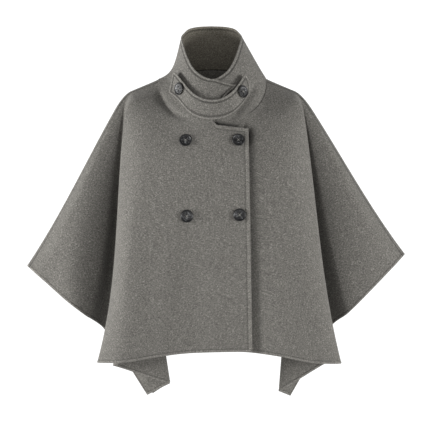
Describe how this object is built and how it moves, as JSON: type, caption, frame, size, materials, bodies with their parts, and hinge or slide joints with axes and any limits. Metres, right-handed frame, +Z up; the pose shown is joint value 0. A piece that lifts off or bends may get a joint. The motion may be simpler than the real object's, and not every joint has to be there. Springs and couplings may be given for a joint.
{
  "type": "wool cape coat",
  "caption": "Hip-length hollow cape coat with a tall funnel collar, throat tab, lapped double-breasted fronts and wide wings folded at the sides.",
  "frame": {"origin": "the middle of the neck opening at shoulder level, where a wearer's shoulders carry the cape", "axes": "+Z up along the wearer's spine, -Y towards the front of the cape, +X towards the wearer's left"},
  "size_m": [0.9091, 0.3026, 0.8922],
  "materials": {
    "wool": "grey-beige melange double-faced felted wool, matt with a short nap",
    "button": "dark grey and black marbled horn look, polished"
  },
  "bodies": {
    "root": {"front_right": "wool", "front_left": "wool", "back": "wool", "collar": "wool", "throat_tab": "wool", "button_upper_right": "button", "button_upper_left": "button", "button_lower_right": "button", "button_lower_left": "button", "button_tab_right": "button", "button_tab_left": "button"}
  },
  "joints": []
}
